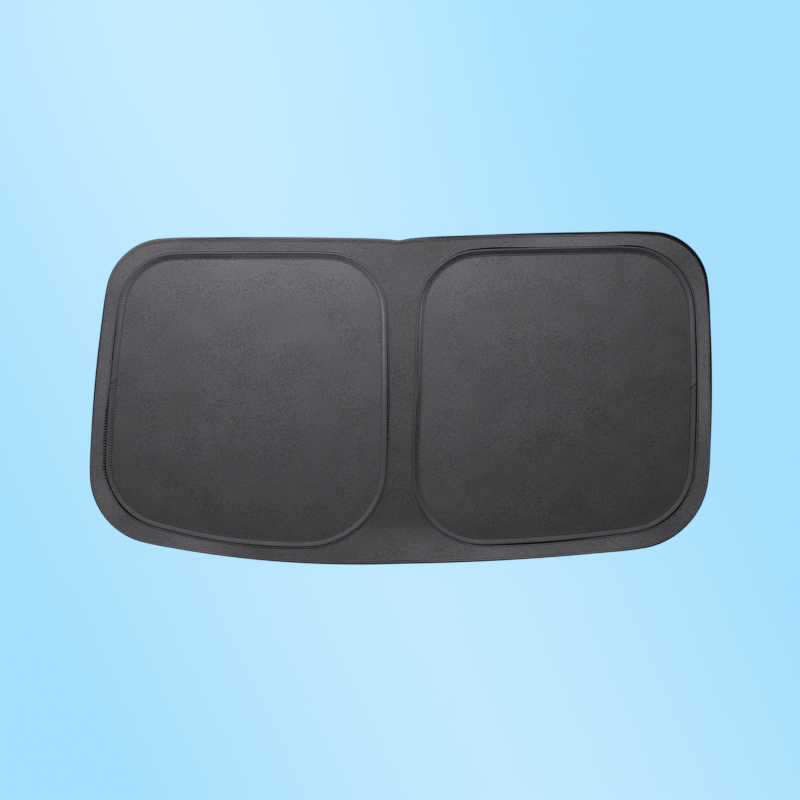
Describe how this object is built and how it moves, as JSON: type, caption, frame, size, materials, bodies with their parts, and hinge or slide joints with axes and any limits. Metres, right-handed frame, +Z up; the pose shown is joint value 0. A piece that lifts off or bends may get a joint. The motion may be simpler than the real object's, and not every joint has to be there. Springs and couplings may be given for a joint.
{
  "type": "car side window sunshade",
  "caption": "Twist-fold cloth sunshade for a car's side window: a twin-lobe panel with a spring wire hoop sewn into a casing round each lobe and a bound edge, lying flat.",
  "frame": {"origin": "on the surface that the shade lies on, under the middle of the bound edge's box", "axes": "+X along the long side to the right lobe, +Y to the top edge, +Z up, away from the window side"},
  "size_m": [0.7, 0.3752, 0.0048],
  "materials": {
    "cloth": "charcoal woven polyester",
    "casing_tape": "charcoal woven tape",
    "binding_tape": "dark woven tape",
    "spring_steel": "bright drawn spring steel",
    "crimp_steel": "plated steel",
    "thread": "charcoal sewing thread"
  },
  "bodies": {
    "root": {"base_sheet": "cloth", "edge_binding": "binding_tape", "left_wire_casing": "casing_tape", "left_spring_wire": "spring_steel", "left_wire_ferrule": "crimp_steel", "right_wire_casing": "casing_tape", "right_spring_wire": "spring_steel", "right_wire_ferrule": "crimp_steel"}
  },
  "joints": []
}
